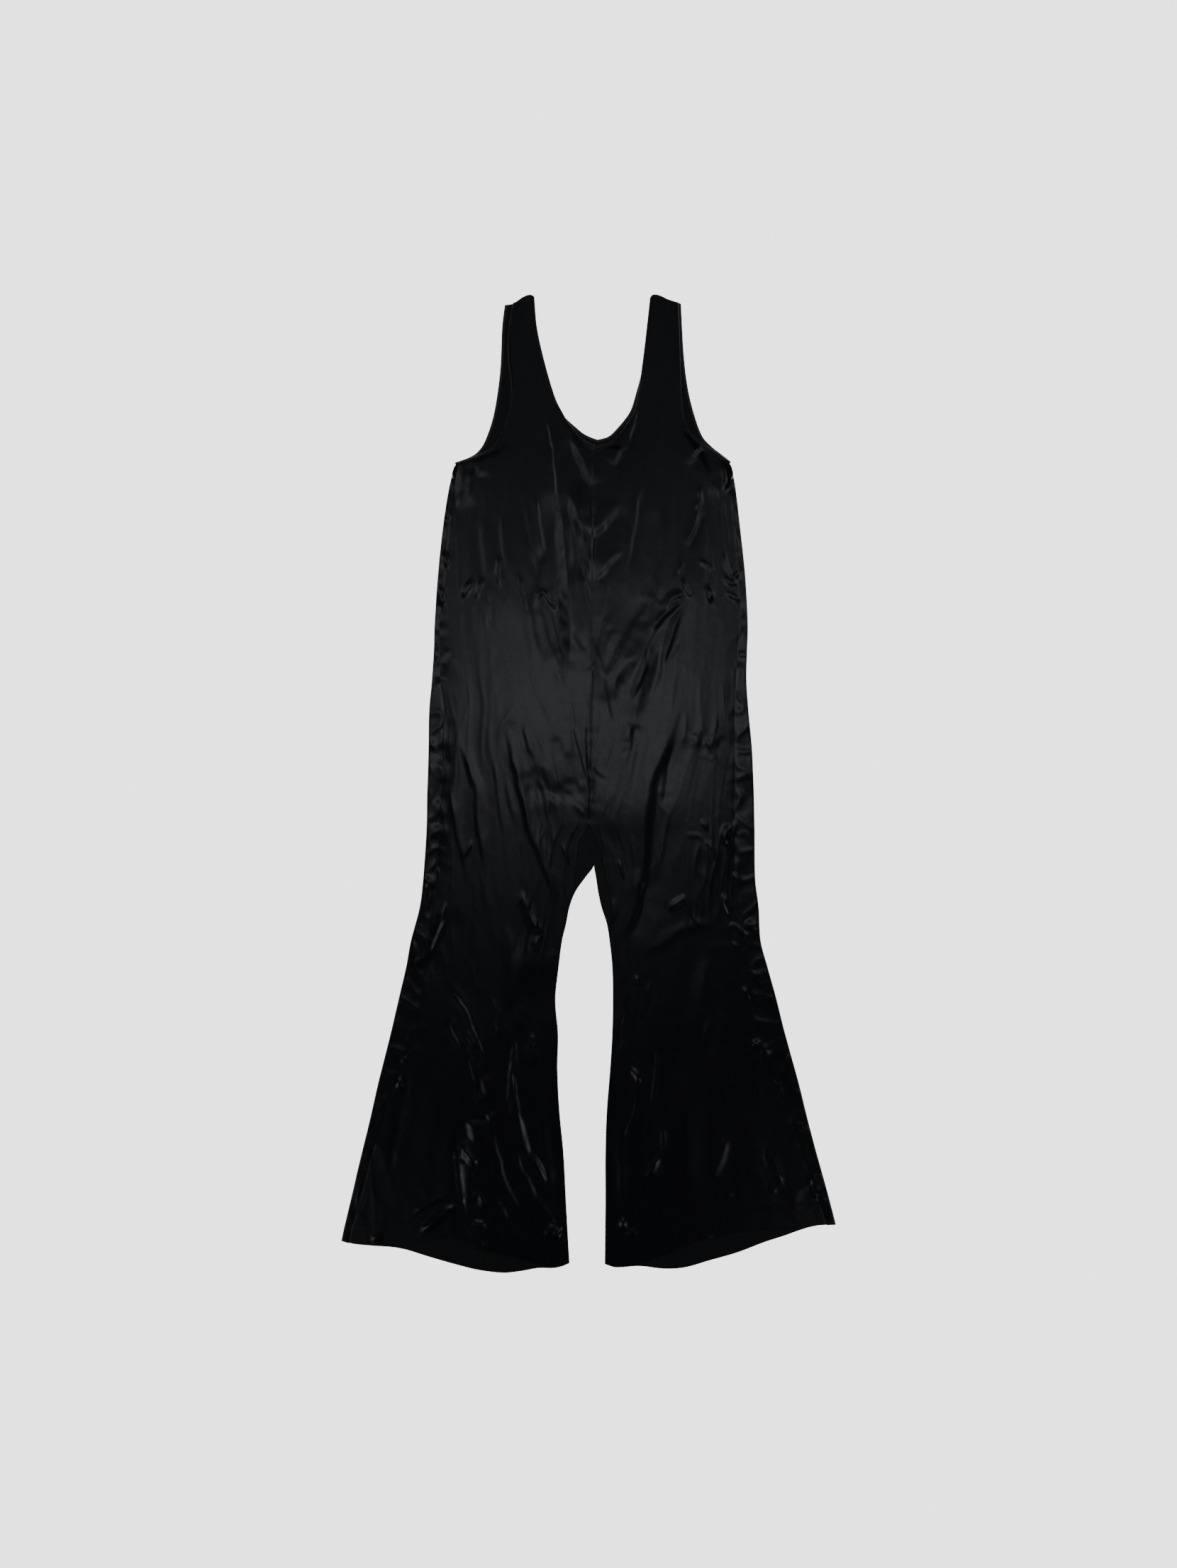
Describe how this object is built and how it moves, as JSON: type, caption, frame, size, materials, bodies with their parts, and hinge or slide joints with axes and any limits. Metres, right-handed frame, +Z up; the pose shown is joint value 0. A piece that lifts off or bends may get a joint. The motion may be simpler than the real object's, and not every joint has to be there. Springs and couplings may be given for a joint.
{
  "type": "sleeveless jumpsuit laid flat",
  "caption": "Black satin jumpsuit with a scoop neck, wide straps and flared legs, laid flat on its back.",
  "frame": {"origin": "middle of the laid garment's box, on the surface it lies on", "axes": "+X to the right seen from above, +Y from the hems to the straps, +Z up off the surface"},
  "size_m": [0.7322, 1.4475, 0.0105],
  "materials": {
    "satin": "glossy black satin",
    "satin_binding": "glossy black satin, narrow bias strips"
  },
  "bodies": {
    "root": {"front_left": "satin", "front_right": "satin", "back_left": "satin", "back_right": "satin", "neck_binding_front": "satin_binding", "neck_binding_back": "satin_binding", "armhole_binding_left_front": "satin_binding", "armhole_binding_left_back": "satin_binding", "armhole_binding_right_front": "satin_binding", "armhole_binding_right_back": "satin_binding"}
  },
  "joints": []
}
